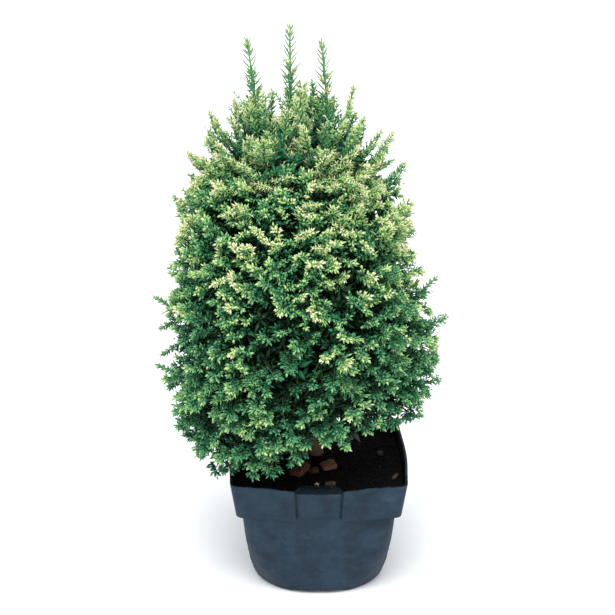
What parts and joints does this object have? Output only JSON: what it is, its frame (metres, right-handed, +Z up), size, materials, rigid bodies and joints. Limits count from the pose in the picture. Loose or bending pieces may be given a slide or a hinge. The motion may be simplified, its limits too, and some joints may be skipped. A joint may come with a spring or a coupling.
{
  "type": "potted lawson cypress",
  "caption": "Small evergreen conifer with a dense egg-shaped crown of scale-leaved sprays and slender upright shoots, on one trunk, in a square nursery pot of soil.",
  "frame": {"origin": "centre of the pot's flat underside", "axes": "+Z up, -Y towards the front of the picture, +X to the right"},
  "size_m": [0.255, 0.2348, 0.4921],
  "materials": {
    "pot_plastic": "matte blue-grey, lightly scuffed",
    "soil": "moist dark peat with bark chips and pale grains",
    "bark": "thin brown bark, finely ridged",
    "foliage": "matte scale leaves, deep green inside, green to cream at the tips",
    "plume": "matte young needles, yellow-green"
  },
  "bodies": {
    "root": {"pot": "pot_plastic", "soil": "soil", "trunk": "bark", "leader_left": "bark", "leader_right": "bark", "foliage_skirt_1": "foliage", "foliage_skirt_2": "foliage", "foliage_skirt_3": "foliage", "foliage_skirt_4": "foliage", "foliage_skirt_5": "foliage", "foliage_belly_1": "foliage", "foliage_belly_2": "foliage", "foliage_belly_3": "foliage", "foliage_belly_4": "foliage", "foliage_belly_5": "foliage", "foliage_shoulder_1": "foliage", "foliage_shoulder_2": "foliage", "foliage_shoulder_3": "foliage", "foliage_shoulder_4": "foliage", "foliage_shoulder_5": "foliage", "foliage_neck_1": "foliage", "foliage_neck_2": "foliage", "foliage_neck_3": "foliage", "foliage_neck_4": "foliage", "foliage_neck_5": "foliage", "plume_left": "plume", "plume_middle": "plume", "plume_right": "plume"}
  },
  "joints": []
}
